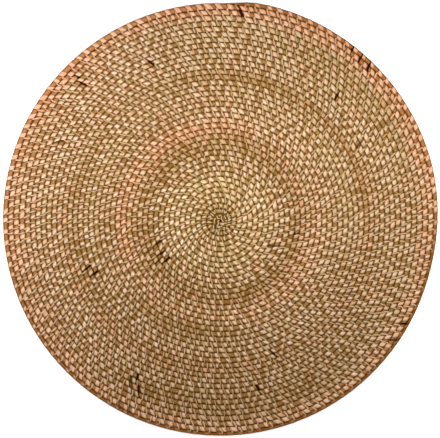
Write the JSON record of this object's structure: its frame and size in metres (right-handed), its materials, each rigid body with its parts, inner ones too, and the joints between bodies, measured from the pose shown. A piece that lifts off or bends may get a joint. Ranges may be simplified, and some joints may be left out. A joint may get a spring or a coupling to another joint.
{
  "type": "round rattan placemat",
  "caption": "Flat round placemat of one spiral cane rod, lashed turn to turn with cane peel. Lies on a table under a plate.",
  "frame": {"origin": "middle of the mat's box, on the face that lies on the table", "axes": "+Z out of the top face; +Y across the mat towards the end of the coil"},
  "size_m": [0.3794, 0.378, 0.006],
  "materials": {
    "cane": "natural peel with a soft satin sheen"
  },
  "bodies": {
    "root": {"mat": "cane"}
  },
  "joints": []
}
